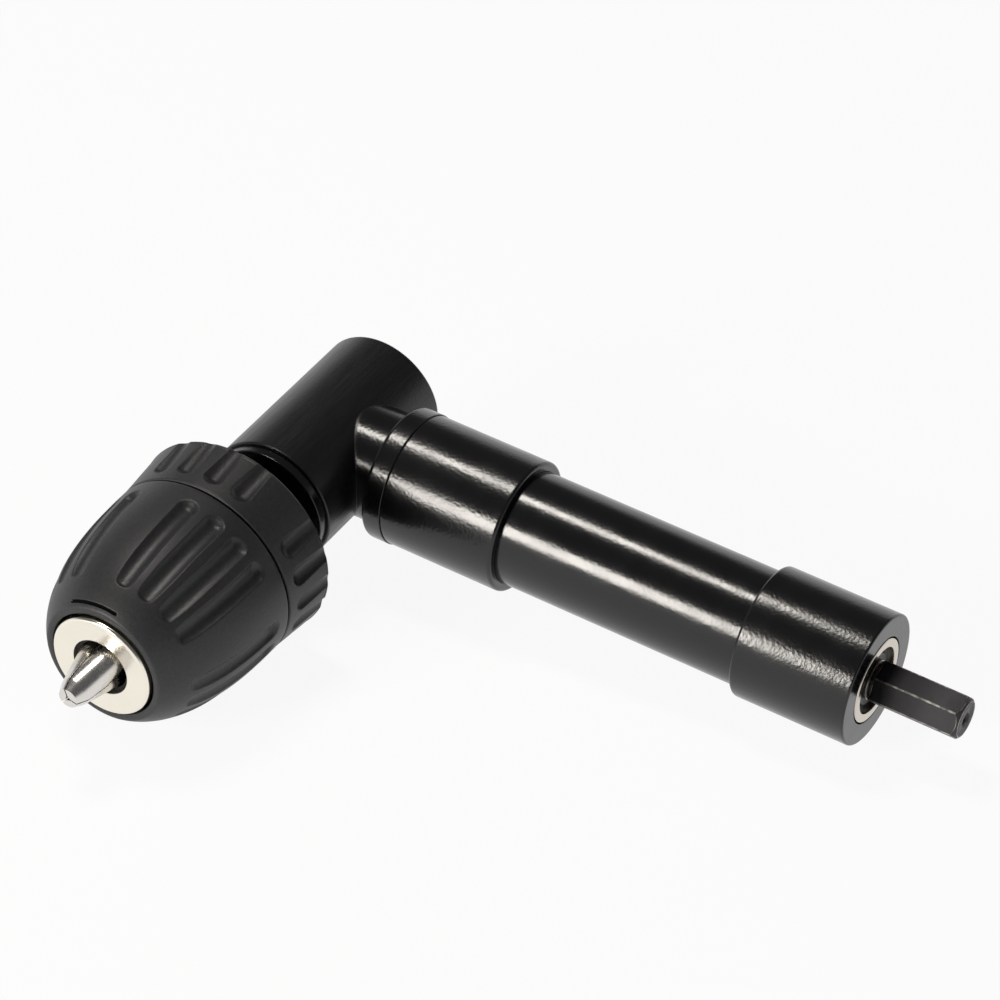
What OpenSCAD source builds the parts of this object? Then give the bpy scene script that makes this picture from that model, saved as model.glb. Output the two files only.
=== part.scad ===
// Right angle drill attachment with a hex shank, a bevel gear head and a keyless chuck.
// It is drawn about the point where the two shaft axes cross, with the arm out along +X
// and the chuck towards -Y. The whole is then moved so that the origin is the centre of
// the hex shank's end face.

/* [Gear head] */
// Outer diameter of the gear head tube
head_d = 26.5; // [26.2:0.1:29]
// Length of the head behind the arm axis
head_back = 18.4; // [18.2:0.1:22]
// Length of the head in front of the arm axis
head_front = 20.8; // [20.6:0.1:24]
// Outer diameter of the stub that carries the arm
stub_d = 22.6; // [22.2:0.1:22.9]
// Diameter of the cover ring at the chuck end of the head
cover_d = 25.2; // [24:0.1:26]
// Thickness of the cover ring
cover_t = 2; // [1.5:0.1:2.2]

/* [Arm] */
// Distance from the spindle axis to the lock ring
lock_ring_x = 15.6; // [14.5:0.1:18]
// Width of the lock ring
lock_ring_len = 4.3; // [3:0.1:6]
// Diameter of the lock ring
lock_ring_d = 27.2; // [25:0.1:29]
// Length of the thick front sleeve of the arm
arm_sleeve_len = 24.9; // [20:0.1:32]
// Diameter of the thick front sleeve
arm_sleeve_d = 26.8; // [25.5:0.1:29]
// Length of the slim tube that shows
arm_tube_len = 51.8; // [30:0.1:80]
// Diameter of the slim tube
arm_tube_d = 23.2; // [22.8:0.1:24]
// Wall of the slim tube
arm_tube_wall = 2.6; // [2.2:0.1:4]
// Length of the end housing
end_len = 24.1; // [22:0.1:30]
// Diameter of the end housing
end_d = 26.4; // [25.4:0.1:29]
// Rounding of the outer edges of the arm
arm_edge_r = 0.9; // [0.3:0.1:1.1]
// Rounding of the front sleeve's shoulder
shoulder_r = 1.5; // [0.5:0.1:1.6]

/* [Input shaft] */
// Hex shank across the flats
hex_af = 8; // [7.2:0.05:8.4]
// Length of the shank beyond the end housing
shank_out = 18.5; // [14:0.1:30]
// Diameter of the shaft
input_d = 7; // [6.6:0.1:7]
// Diameter of the collar at the root of the hex
collar_d = 9.6; // [9.4:0.1:10.2]
// Length of the collar
collar_len = 2.1; // [1.5:0.1:4]

/* [Bevel gears] */
// Teeth of each gear
gear_teeth = 17; // [15:1:18]
// Module at the large end
gear_module = 0.95; // [0.9:0.01:0.97]
// Face width along the cone
gear_face = 3.8; // [3:0.1:4]
// Pressure angle
pressure_angle = 20; // [18:0.5:22]
// Space between the flanks, each side
flank_gap = 0.12; // [0.08:0.01:0.2]

/* [Spindle] */
// Diameter at the rear bearing and the gear
spindle_rear_d = 8; // [7.6:0.1:8]
// Diameter at the front bearing
spindle_front_d = 10; // [9.6:0.1:10]
// Diameter of the flange that the chuck screws up against
spindle_flange_d = 17; // [14:0.1:20]
// Length of the flange
spindle_flange_len = 5.3; // [4:0.1:8]
// Diameter of the threaded end in the chuck
spindle_thread_d = 9.5; // [8:0.1:9.8]
// Length of the threaded end
spindle_thread_len = 16; // [12:0.1:16.5]

/* [Bearings] */
// Outer diameter of the spindle's front bearing
front_bearing_od = 22; // [21:0.1:22.4]
// Width of the spindle's front bearing
front_bearing_w = 6; // [5:0.1:6.2]
// Outer diameter of the spindle's rear bearing
rear_bearing_od = 16; // [15:0.1:17]
// Width of the spindle's rear bearing
rear_bearing_w = 5; // [4:0.1:5.1]
// Outer diameter of the input shaft's inner bearing
inner_bearing_od = 19; // [18.6:0.1:19.4]
// Width of the input shaft's inner bearing
inner_bearing_w = 6; // [5:0.1:7]
// Outer diameter of the input shaft's end bearing
end_bearing_od = 17; // [16.4:0.1:18]
// Width of the input shaft's end bearing
end_bearing_w = 5; // [4.5:0.1:6]

/* [Chuck] */
// Distance from the arm axis to the rear rim of the chuck sleeve
chuck_rear = 32.5; // [31:0.1:36]
// Diameter at the rear rim
rear_sleeve_d = 42.6; // [41:0.1:46]
// Length of the rear sleeve
rear_sleeve_len = 12; // [10:0.1:12.6]
// Diameter where the sleeves meet
sleeve_joint_d = 40.6; // [39.4:0.1:44]
// Gap between the sleeves
sleeve_gap = 0.4; // [0.3:0.05:0.8]
// Length of the front sleeve
front_sleeve_len = 31.1; // [30.9:0.1:31.3]
// Diameter of the chuck body
chuck_body_d = 34; // [33:0.1:34.6]
// Diameter of the nose ring
nose_ring_d = 21.6; // [20.8:0.1:22.4]
// Hole in the nose ring
nose_hole_d = 12; // [11.6:0.1:13]
// Height of the nose ring beyond the sleeve
nose_ring_out = 0.9; // [0.5:0.1:1.5]

/* [Jaws] */
// Diameter of a jaw
jaw_d = 6.4; // [6:0.1:6.5]
// Length of a jaw along its own axis
jaw_len = 35; // [33:0.1:37]
// Angle between a jaw and the chuck axis
jaw_angle = 15; // [14.5:0.1:15.2]
// Length of the jaw tips beyond the nose ring
jaw_out = 9.9; // [9:0.1:11]
// Radius round the three closed tips
jaw_tip_r = 2.35; // [2.2:0.05:2.7]
// Smallest drill that the jaws grip
grip_min = 0.8; // [0.6:0.1:1.4]
// Angle of the first jaw round the chuck axis
jaw_turn = 49; // [0:1:119]

/* [Sleeve grooves] */
// Groups of grooves round each sleeve
groove_groups = 4; // [3:1:4]
// Grooves in a group
grooves_in_group = 4; // [2:1:4]
// Angle between grooves of a group
groove_pitch = 17.2; // [16.6:0.1:18]
// Radius of a groove's section
groove_r = 2.6; // [2.2:0.1:2.8]
// Depth of a groove
groove_depth = 1.1; // [0.6:0.1:1.2]
// Depth of a rear groove where it meets the rim
rim_depth = 0.5; // [0.3:0.1:0.8]
// Middle of the first group on the front sleeve
front_group_turn = 61; // [0:1:89]
// Middle of the first group on the rear sleeve
rear_group_turn = 7; // [0:1:89]

/* [Hidden] */
$fn = 96;

// Clearances and small sizes
overrun = 1;
fit = 0.02;
running_gap = 0.05;
open_gap = 0.3;
thin_chamfer = 0.4;
small_chamfer = 0.6;
shaft_chamfer = 0.8;

// Places along the arm, from the spindle axis
arm_sleeve_x = lock_ring_x + lock_ring_len;
arm_tube_x = arm_sleeve_x + arm_sleeve_len;
end_x = arm_tube_x + arm_tube_len;
end_face_x = end_x + end_len;
shank_end_x = end_face_x + shank_out;
bearing_recess = 0.8;
mouth_gap = 0.3;
end_bearing_x = end_face_x - bearing_recess - end_bearing_w;
tube_seat_len = 12.9;
stub_seat_len = 13.4;
stub_end_x = arm_sleeve_x + stub_seat_len;
tube_end_x = end_x + tube_seat_len;

// Bevel gear pair, both cones at half a right angle
cone_angle = 45;
pitch_r = gear_module * gear_teeth / 2;
cone_dist = pitch_r / sin(cone_angle);
eq_r = pitch_r / cos(cone_angle);
eq_teeth = gear_teeth / cos(cone_angle);
base_r = eq_r * cos(pressure_angle);
dedendum_share = 1.25;
addendum = gear_module;
dedendum = dedendum_share * gear_module;
toe_share = (cone_dist - gear_face) / cone_dist;
heel_tip_r = pitch_r + addendum * cos(cone_angle);
heel_tip_z = pitch_r - addendum * sin(cone_angle);
toe_tip_r = heel_tip_r * toe_share;
toe_tip_z = heel_tip_z * toe_share;
toe_root_r = (pitch_r - dedendum * cos(cone_angle)) * toe_share;
toe_root_z = (pitch_r + dedendum * sin(cone_angle)) * toe_share;
hub_r = 6;
back_z = heel_tip_z + heel_tip_r - hub_r;
flank_steps = 4;
gear_room = 0.2;
gear_chamber_r = heel_tip_r + gear_room;

// Input side of the head
inner_bearing_x = 14;
pinion_hub_end = inner_bearing_x - fit;
pin_r = 1;
pin_x = (back_z + pinion_hub_end) / 2;
shaft_tip_x = toe_root_z;
circlip_t = 0.9;
circlip_out = 1.7;
circlip_groove = 0.3;
circlip_gap_angle = 50;
inner_bearing_end = inner_bearing_x + inner_bearing_w;
hex_turn = 42;
hex_chamfer = 0.8;
centre_r = 0.8;
centre_depth = 2.4;

// Spindle, measured along the chuck axis from the arm axis
gear_hub_end = 12;
rear_bearing_s = -gear_hub_end;
rear_bearing_end = rear_bearing_s - rear_bearing_w;
cap_seat_s = rear_bearing_end - 2 * running_gap;
cap_r = 10.5;
head_bore_r = 10;
cover_seat = 0.8;
front_bearing_end = head_front - cover_seat;
front_bearing_s = front_bearing_end - front_bearing_w;
spindle_step_s = 10;
spindle_shoulder_d = 12.4;
cover_end_s = head_front + cover_t;
flange_s = cover_end_s + thin_chamfer;
flange_end_s = flange_s + spindle_flange_len;
spindle_end_s = flange_end_s + spindle_thread_len;
cover_bore_r = spindle_shoulder_d / 2 + open_gap;
key_w = 2;
key_start = toe_root_z + small_chamfer;
key_end = -rear_bearing_s - thin_chamfer;
key_in = 1.1;
key_out = 0.7;

// Ball bearings as [outer radius, bore radius, width, number of balls]
race_gap = 0.04;
ball_share = 0.3;
shoulder_share = 0.5;
cage_share = 0.28;
spindle_balls = 10;
input_balls = 8;
front_bearing = [front_bearing_od / 2, spindle_front_d / 2, front_bearing_w, spindle_balls];
rear_bearing = [rear_bearing_od / 2, spindle_rear_d / 2, rear_bearing_w, spindle_balls];
inner_bearing = [inner_bearing_od / 2, input_d / 2, inner_bearing_w, input_balls];
end_bearing = [end_bearing_od / 2, input_d / 2, end_bearing_w, input_balls];
shield_t = 0.3;
shield_depth = 0.35;

// Chuck, measured along its axis from the arm axis
sleeve_front_s = chuck_rear + rear_sleeve_len + sleeve_gap;
nose_s = sleeve_front_s + front_sleeve_len;
cap_face_s = nose_s + nose_ring_out;
cap_wall = 1;
tip_s = cap_face_s + jaw_out;
jaw_r = jaw_d / 2;
jaw_slope = tan(jaw_angle);
jaw_apex_s = tip_s + (jaw_tip_r - jaw_r / cos(jaw_angle)) / jaw_slope;
hub_sleeve_r = 9;
rear_wall_t = 2;
body_inset = 3.5;
body_len = 17;
thrust_race_t = 1;
body_s = chuck_rear + body_inset;
body_end_s = body_s + body_len;
thrust_face_s = body_end_s + thrust_race_t;
thrust_ball_r = 0.8;
thrust_ball_s = thrust_face_s + thrust_ball_r / 2;
thrust_pitch_r = 13.5;
thrust_count = 24;
thrust_cage_half = 0.2;
thrust_race_half_w = 1.4;
nut_len = 7.2;
nut_s = thrust_ball_s + thrust_ball_r / 2;
nut_end_s = nut_s + nut_len;
nut_r = 15;
nut_clear = 0.12;
nut_split = 0.3;
band_t = 1.2;
band_rear_inset = 1.7;
band_front_inset = 0.5;
band_s = nut_s + band_rear_inset;
band_end_s = nut_end_s - band_front_inset;
nut_seat_r = jaw_tip_r + (tip_s - nut_end_s) * jaw_slope;
front_body_s = nut_end_s + open_gap;
front_body_r = 12;
nose_ring_len = 4.7;
nose_gap = 0.5;
cap_start_s = cap_face_s - nose_ring_len;
cap_in_r = nose_ring_d / 2 - cap_wall;
cap_edge_r = 0.8;
bit_bore_r = 5.2;
web_s = spindle_end_s + thin_chamfer;
web_t = 3;
web_end_s = web_s + web_t;
screw_r = 2.4;
screw_head_r = 4.2;
screw_head_len = 2.6;
screw_len = 10;
screw_hole_len = 12;
screw_slot_w = 1.2;
screw_slot_depth = 1.1;
jaw_gap = 0.24;
jaw_chamfer_r = 1.7;
jaw_chamfer_angle = 35;
jaw_bore_len = 60;
jaw_turns = [for (k = [0:2]) jaw_turn + k * 120];

// Outline of the front sleeve: a rounded ogive that would close at ogive_len
ogive_len = 35.5;
ogive_power = 2.6;
ogive_steps = 14;
sleeve_r = sleeve_joint_d / 2;
sleeve_edge_r = 0.5;
rear_edge_r = 0.9;
sleeve_bore_r = chuck_body_d / 2 + thin_chamfer;
band_r = nut_r + fit + band_t;
nose_bore_r = nose_ring_d / 2 + nose_gap;
groove_start = 5.2;
groove_end = 24.8;
groove_end_depth = 0.75;
groove_sag = 0.85;
groove_end_extra = 0.02;
flute_end = 8;

// Colours
paint = "#17181a";
plastic = "#2b2c2e";
nickel = "#c4c0b8";
steel = "#b9bcc0";
black_oxide = "#3a3b3e";
brass_cage = "#8d7a4a";

// Moves a piece drawn upwards from zero to a distance along the arm
module along_arm(x) {
    translate([x - shank_end_x, 0, 0]) rotate([0, 90, 0]) children();
}

// Moves a piece drawn upwards from zero to a distance along the chuck axis
module along_chuck(s) {
    translate([-shank_end_x, -s, 0]) rotate([90, 0, 0]) children();
}

// Plain ring or tube
module ring(outer_r, inner_r, length) {
    rotate_extrude() translate([inner_r, 0]) square([outer_r - inner_r, length]);
}

// Solid of revolution from an outline of [radius, height] points
module turned(points) {
    rotate_extrude() polygon(points);
}

// Points of a round edge: centre, radius, first and last angle
function arc(centre, r, from, to, steps = 6) =
    [for (i = [0:steps]) let (a = from + (to - from) * i / steps) centre + r * [cos(a), sin(a)]];

// Tube with rounded outer edges at its low and high end
module round_tube(outer_r, inner_r, length, low_r, high_r) {
    turned(concat([[inner_r, 0]],
        arc([outer_r - low_r, low_r], low_r, -90, 0),
        arc([outer_r - high_r, length - high_r], high_r, 0, 90),
        [[inner_r, length]]));
}

function pitch_of(bearing) = (bearing[0] + bearing[1]) / 2;
function ball_radius(bearing) = ball_share * (bearing[0] - bearing[1]);
function shoulder(bearing) = ball_radius(bearing) * shoulder_share;

// Raceway: a round groove for the balls
module raceway(bearing) {
    rotate_extrude() translate([pitch_of(bearing), bearing[2] / 2]) circle(ball_radius(bearing) + race_gap);
}

module outer_race(bearing) {
    difference() {
        round_tube(bearing[0], pitch_of(bearing) + shoulder(bearing), bearing[2], thin_chamfer, thin_chamfer);
        raceway(bearing);
    }
}

module inner_race(bearing) {
    difference() {
        ring(pitch_of(bearing) - shoulder(bearing), bearing[1] + fit, bearing[2]);
        raceway(bearing);
    }
}

// Balls held in a flat cage
module ball_set(pitch, ball_r, count, cage_half) {
    for (i = [0:count - 1])
        rotate(i * 360 / count) translate([pitch, 0, 0]) sphere(ball_r);
    translate([0, 0, -cage_half]) ring(pitch + cage_half, pitch - cage_half, 2 * cage_half);
}

module bearing_balls(bearing) {
    translate([0, 0, bearing[2] / 2])
        ball_set(pitch_of(bearing), ball_radius(bearing), bearing[3], ball_radius(bearing) * cage_share);
}

// Involute angle in degrees
function involute(angle) = tan(angle) * 180 / PI - angle;

// Half the angle that a tooth of the equivalent spur gear takes at radius r
function tooth_half(r) =
    90 / eq_teeth + involute(pressure_angle) - involute(acos(min(1, base_r / r)))
    - flank_gap / 2 / eq_r * 180 / PI;

flank_radii = concat([eq_r - dedendum],
    [for (i = [0:flank_steps]) base_r + (eq_r + addendum - base_r) * i / flank_steps]);

// Distance from the gear axis, at height h above the apex, of a point of the equivalent gear
function cone_r(r, h) = h * tan(cone_angle + (r - eq_r) / cone_dist * 180 / PI);

function flank_point(r, h, centre, side) =
    let (a = centre + side * tooth_half(r) / cos(cone_angle)) cone_r(r, h) * [cos(a), sin(a)];

function tooth(h, centre) = concat(
    [for (r = flank_radii) flank_point(r, h, centre, -1)],
    [for (i = [len(flank_radii) - 1:-1:0]) flank_point(flank_radii[i], h, centre, 1)]);

function gear_outline(h) = [for (k = [0:gear_teeth - 1]) each tooth(h, k * 360 / gear_teeth)];

// Bevel gear with its apex at zero and its axis upwards
module bevel_gear(bore_r, hub_end) {
    difference() {
        union() {
            intersection() {
                translate([0, 0, back_z]) mirror([0, 0, 1])
                    linear_extrude(height = back_z - toe_tip_z, scale = toe_tip_z / back_z)
                        polygon(gear_outline(back_z));
                turned([[0, toe_root_z], [toe_root_r, toe_root_z], [toe_tip_r, toe_tip_z],
                    [heel_tip_r, heel_tip_z], [hub_r, back_z], [0, back_z]]);
            }
            translate([0, 0, back_z - small_chamfer])
                cylinder(r = hub_r, h = hub_end - back_z + small_chamfer);
        }
        translate([0, 0, toe_tip_z - overrun]) cylinder(r = bore_r + fit, h = hub_end + overrun);
    }
}

// Gear head tube with the arm's stub, bored for both shafts
module head_housing() {
    color(paint) difference() {
        union() {
            along_chuck(-head_back)
                round_tube(head_d / 2, 0, head_back + head_front, small_chamfer, thin_chamfer);
            along_arm(0) cylinder(d = stub_d, h = stub_end_x);
        }
        along_chuck(rear_bearing_s) cylinder(r = head_bore_r, h = head_front - rear_bearing_s);
        along_chuck(front_bearing_s) cylinder(d = front_bearing_od + 2 * fit, h = head_front);
        along_chuck(cap_seat_s) cylinder(d = rear_bearing_od + 2 * fit, h = rear_bearing_w + overrun);
        along_chuck(-head_back - overrun) cylinder(r = cap_r + fit, h = head_back + cap_seat_s + overrun);
        along_arm(0) cylinder(r = gear_chamber_r, h = stub_end_x);
        along_arm(inner_bearing_x) cylinder(d = inner_bearing_od + 2 * fit, h = stub_end_x);
    }
}

module head_rear_cap() {
    color(paint) along_chuck(-head_back)
        round_tube(cap_r, 0, head_back + cap_seat_s - fit, thin_chamfer, thin_chamfer);
}

// Threaded cover that holds the front bearing and shows as a thin ring
module spindle_cover_ring() {
    color(paint) union() {
        along_chuck(head_front)
            round_tube(cover_d / 2, cover_bore_r, cover_t, thin_chamfer, thin_chamfer);
        along_chuck(front_bearing_end + fit)
            ring(front_bearing_od / 2 - fit, front_bearing_od / 2 - cover_t, head_front - front_bearing_end);
    }
}

module arm_lock_ring() {
    color(paint) along_arm(lock_ring_x)
        round_tube(lock_ring_d / 2, stub_d / 2 + fit, lock_ring_len, arm_edge_r, thin_chamfer);
}

module arm_front_sleeve() {
    color(paint) along_arm(arm_sleeve_x) difference() {
        round_tube(arm_sleeve_d / 2, stub_d / 2 + fit, arm_sleeve_len, thin_chamfer, shoulder_r);
        translate([0, 0, stub_seat_len]) cylinder(r = arm_tube_d / 2 + fit, h = arm_sleeve_len);
    }
}

module arm_tube() {
    color(paint) along_arm(stub_end_x)
        ring(arm_tube_d / 2, arm_tube_d / 2 - arm_tube_wall, tube_end_x - stub_end_x - fit);
}

module arm_end_housing() {
    color(paint) along_arm(end_x) difference() {
        round_tube(end_d / 2, end_bearing_od / 2 - overrun, end_len, arm_edge_r, small_chamfer);
        translate([0, 0, -overrun]) cylinder(r = arm_tube_d / 2 + fit, h = tube_seat_len + overrun);
        translate([0, 0, end_bearing_x - end_x])
            cylinder(d = end_bearing_od + 2 * fit, h = end_bearing_w + overrun);
        translate([0, 0, end_len - bearing_recess - thin_chamfer])
            cylinder(r = end_bearing_od / 2 + mouth_gap, h = bearing_recess + thin_chamfer + overrun);
    }
}

// Spacer between the inner bearing and the end of the slim tube
module bearing_spacer() {
    color(steel) along_arm(inner_bearing_end + fit)
        ring(inner_bearing_od / 2, arm_tube_d / 2 - arm_tube_wall - small_chamfer,
            stub_end_x - inner_bearing_end - 2 * fit);
}

module spindle_front_outer_ring() {
    color(steel) along_chuck(front_bearing_s) outer_race(front_bearing);
}

module spindle_rear_outer_ring() {
    color(steel) along_chuck(rear_bearing_end) outer_race(rear_bearing);
}

module input_inner_outer_ring() {
    color(steel) along_arm(inner_bearing_x) outer_race(inner_bearing);
}

module input_end_outer_ring() {
    color(steel) along_arm(end_bearing_x) outer_race(end_bearing);
}

module input_end_shield() {
    color(black_oxide) along_arm(end_bearing_x + end_bearing_w - shield_depth - shield_t)
        ring(pitch_of(end_bearing) + shoulder(end_bearing) - fit,
            pitch_of(end_bearing) - shoulder(end_bearing) + open_gap, shield_t);
}

// Shaft from the pinion to the hex shank, with the collar that stops it at the end bearing
module input_shaft() {
    shaft_len = shank_end_x - shaft_tip_x;
    collar_x = end_bearing_x + end_bearing_w + fit;
    hex_x = collar_x + collar_len;
    hex_len = shank_end_x - hex_x + overrun;
    hex_r = hex_af / 2 / cos(30);
    color(black_oxide) difference() {
        union() {
            along_arm(shaft_tip_x) round_tube(input_d / 2, 0, collar_x - shaft_tip_x + overrun,
                thin_chamfer, thin_chamfer);
            along_arm(collar_x) turned([[0, 0], [collar_d / 2 - thin_chamfer, 0],
                [collar_d / 2, thin_chamfer], [collar_d / 2, collar_len], [0, collar_len]]);
            along_arm(hex_x - overrun) rotate(hex_turn) intersection() {
                cylinder(r = hex_r, h = hex_len, $fn = 6);
                cylinder(r1 = hex_r - hex_chamfer + hex_len, r2 = hex_r - hex_chamfer, h = hex_len, $fn = 6);
            }
        }
        along_arm(inner_bearing_end + fit) difference() {
            cylinder(d = input_d + overrun, h = circlip_t + 2 * fit);
            cylinder(r = input_d / 2 - circlip_groove, h = circlip_t + 2 * fit);
        }
        along_arm(pin_x) rotate([90, 0, 0]) cylinder(r = pin_r + fit, h = input_d + overrun, center = true);
        along_arm(shank_end_x - centre_depth) turned([[0, 0], [centre_r, 0],
            [centre_r, centre_depth - centre_r], [centre_r + centre_r, centre_depth + fit],
            [0, centre_depth + fit]]);
    }
}

module input_pinion() {
    color(steel) difference() {
        along_arm(0) rotate(90) bevel_gear(input_d / 2, pinion_hub_end);
        along_arm(pin_x) rotate([90, 0, 0]) cylinder(r = pin_r + fit, h = 2 * hub_r + overrun, center = true);
    }
}

module pinion_pin() {
    color(steel) along_arm(pin_x) rotate([90, 0, 0])
        cylinder(r = pin_r, h = 2 * hub_r - thin_chamfer, center = true);
}

// Open retaining ring on a shaft
module circlip(shaft_r) {
    rotate(circlip_gap_angle / 2) rotate_extrude(angle = 360 - circlip_gap_angle)
        translate([shaft_r - circlip_groove + fit, 0]) square([circlip_out, circlip_t]);
}

module input_circlip() {
    color(steel) along_arm(inner_bearing_end + 2 * fit) circlip(input_d / 2);
}

module input_inner_race() {
    color(steel) along_arm(inner_bearing_x) inner_race(inner_bearing);
}

module input_end_race() {
    color(steel) along_arm(end_bearing_x) inner_race(end_bearing);
}

// Spindle from the rear bearing through the gear to the end that screws into the chuck
module output_spindle() {
    color(black_oxide) difference() {
        along_chuck(0) turned([[0, rear_bearing_end + fit],
            [spindle_rear_d / 2 - thin_chamfer, rear_bearing_end + fit],
            [spindle_rear_d / 2, rear_bearing_end + thin_chamfer], [spindle_rear_d / 2, spindle_step_s],
            [spindle_front_d / 2, spindle_step_s + thin_chamfer],
            [spindle_front_d / 2, front_bearing_end + fit], [spindle_shoulder_d / 2, front_bearing_end + fit],
            [spindle_shoulder_d / 2, flange_s], [spindle_flange_d / 2, flange_s],
            [spindle_flange_d / 2, flange_end_s], [spindle_thread_d / 2, flange_end_s],
            [spindle_thread_d / 2, spindle_end_s - shaft_chamfer],
            [spindle_thread_d / 2 - shaft_chamfer, spindle_end_s], [0, spindle_end_s]]);
        along_chuck(spindle_end_s - screw_hole_len) cylinder(r = screw_r + fit, h = screw_hole_len + overrun);
        along_chuck(front_bearing_s - circlip_t - 3 * fit) difference() {
            cylinder(d = spindle_front_d + overrun, h = circlip_t + 2 * fit);
            cylinder(r = spindle_front_d / 2 - circlip_groove, h = circlip_t + 2 * fit);
        }
        key_space(fit);
    }
}

// The key's own box, grown by a clearance
module key_space(grow) {
    along_chuck(-key_end - grow)
        translate([-spindle_rear_d / 2 - key_out - grow, -key_w / 2 - grow, 0])
            cube([key_in + key_out + 2 * grow, key_w + 2 * grow, key_end - key_start + 2 * grow]);
}

module output_gear() {
    color(steel) difference() {
        along_chuck(0) mirror([0, 0, 1]) rotate(180 / gear_teeth)
            bevel_gear(spindle_rear_d / 2, -rear_bearing_s - fit);
        key_space(fit);
    }
}

module gear_key() {
    color(steel) key_space(0);
}

module spindle_circlip() {
    color(steel) along_chuck(front_bearing_s - circlip_t - 2 * fit) circlip(spindle_front_d / 2);
}

module spindle_front_race() {
    color(steel) along_chuck(front_bearing_s) inner_race(front_bearing);
}

module spindle_rear_race() {
    color(steel) along_chuck(rear_bearing_end) inner_race(rear_bearing);
}

// Runs children at the place and slant of each jaw, with the jaw's own axis upwards
module at_jaw(turn) {
    along_chuck(jaw_apex_s) rotate(turn) rotate([0, -jaw_angle, 0]) children();
}

// Chuck body: threaded rear end, three slanted bores for the jaws and a seat for the nut
module chuck_body() {
    color(black_oxide) difference() {
        along_chuck(0) turned([[0, flange_end_s], [hub_sleeve_r, flange_end_s], [hub_sleeve_r, body_s],
            [chuck_body_d / 2, body_s], [chuck_body_d / 2, body_end_s], [nut_seat_r, body_end_s],
            [nut_seat_r, front_body_s], [front_body_r, front_body_s], [front_body_r, cap_start_s - open_gap],
            [cap_in_r - fit, cap_start_s - open_gap], [cap_in_r - fit, cap_face_s - cap_wall - fit],
            [0, cap_face_s - cap_wall - fit]]);
        along_chuck(flange_end_s - overrun)
            cylinder(r = spindle_thread_d / 2 + fit, h = web_s - flange_end_s + overrun);
        along_chuck(web_s - overrun) cylinder(r = screw_r + running_gap, h = web_end_s - web_s + 2 * overrun);
        along_chuck(web_end_s) cylinder(r = bit_bore_r, h = cap_face_s - web_end_s);
        for (turn = jaw_turns)
            at_jaw(turn) translate([0, 0, -jaw_bore_len])
                cylinder(r = jaw_r + running_gap, h = jaw_bore_len + jaw_len);
    }
}

// Rear sleeve, pressed on the chuck body, with flutes open at its rear rim
module chuck_rear_sleeve() {
    outer_r = rear_sleeve_d / 2;
    color(plastic) difference() {
        along_chuck(chuck_rear) turned(concat(
            [[hub_sleeve_r + fit, 0]],
            arc([outer_r - rear_edge_r, rear_edge_r], rear_edge_r, -90, 0),
            [[sleeve_r, rear_sleeve_len]],
            [[chuck_body_d / 2 + fit, rear_sleeve_len], [chuck_body_d / 2 + fit, rear_wall_t],
                [hub_sleeve_r + fit, rear_wall_t]]));
        for (g = [0:groove_groups - 1], i = [0:grooves_in_group - 1])
            along_chuck(chuck_rear)
                rotate(rear_group_turn + g * 360 / groove_groups
                    + (i - (grooves_in_group - 1) / 2) * groove_pitch)
                    flute();
    }
}

// Cutter of a short flute, shallow at the rim, with a deep round front end
module flute() {
    rim_r = rear_sleeve_d / 2 + groove_r - rim_depth;
    wall_r = rear_sleeve_d / 2 + (sleeve_r - rear_sleeve_d / 2) * flute_end / rear_sleeve_len;
    lean = atan((rim_r - wall_r - groove_r + groove_depth) / flute_end);
    translate([rim_r, 0, 0]) rotate([0, -lean, 0]) {
        translate([0, 0, -overrun]) cylinder(r = groove_r, h = flute_end / cos(lean) + overrun);
        translate([0, 0, flute_end / cos(lean)]) sphere(groove_r + groove_end_extra);
    }
}

function ogive_r(z) = sleeve_r * pow(1 - pow(z / ogive_len, ogive_power), 1 / ogive_power);

// Front sleeve that is turned by hand: a rounded ogive with groups of long grooves
module chuck_front_sleeve() {
    color(plastic) difference() {
        along_chuck(sleeve_front_s) turned(concat(
            [[sleeve_bore_r, 0], [sleeve_r - sleeve_edge_r, 0]],
            [for (i = [0:ogive_steps]) let (z = sleeve_edge_r
                + (front_sleeve_len - sleeve_edge_r) * i / ogive_steps) [ogive_r(z), z]],
            [[nose_bore_r, front_sleeve_len], [nose_bore_r, cap_start_s + open_gap - sleeve_front_s],
                [front_body_r + thin_chamfer, cap_start_s + open_gap - sleeve_front_s],
                [front_body_r + thin_chamfer, nut_end_s + fit - sleeve_front_s],
                [band_r + fit, nut_end_s + fit - sleeve_front_s],
                [band_r + fit, band_s - open_gap - sleeve_front_s],
                [sleeve_bore_r, band_s - open_gap - sleeve_front_s]]));
        for (g = [0:groove_groups - 1], i = [0:grooves_in_group - 1])
            along_chuck(sleeve_front_s)
                rotate(front_group_turn + g * 360 / groove_groups
                    + (i - (grooves_in_group - 1) / 2) * groove_pitch)
                    long_groove();
    }
}

// Cutter of a long groove: a bent round bar with round ends, sunk less at its front end
module long_groove() {
    low = [ogive_r(groove_start) + groove_r - groove_depth, groove_start];
    high = [ogive_r(groove_end) + groove_r - groove_end_depth, groove_end];
    chord = norm(high - low);
    lean = atan2(low[0] - high[0], high[1] - low[1]);
    bend_r = chord * chord / 8 / groove_sag + groove_sag / 2;
    half_angle = asin(chord / 2 / bend_r);
    translate([low[0], 0, low[1]]) rotate([0, -lean, 0]) {
        translate([groove_sag - bend_r, 0, chord / 2]) rotate([90, 0, 0]) rotate(-half_angle)
            rotate_extrude(angle = 2 * half_angle) translate([bend_r, 0]) circle(groove_r);
        sphere(groove_r + groove_end_extra);
        translate([0, 0, chord]) sphere(groove_r + groove_end_extra);
    }
}

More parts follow.
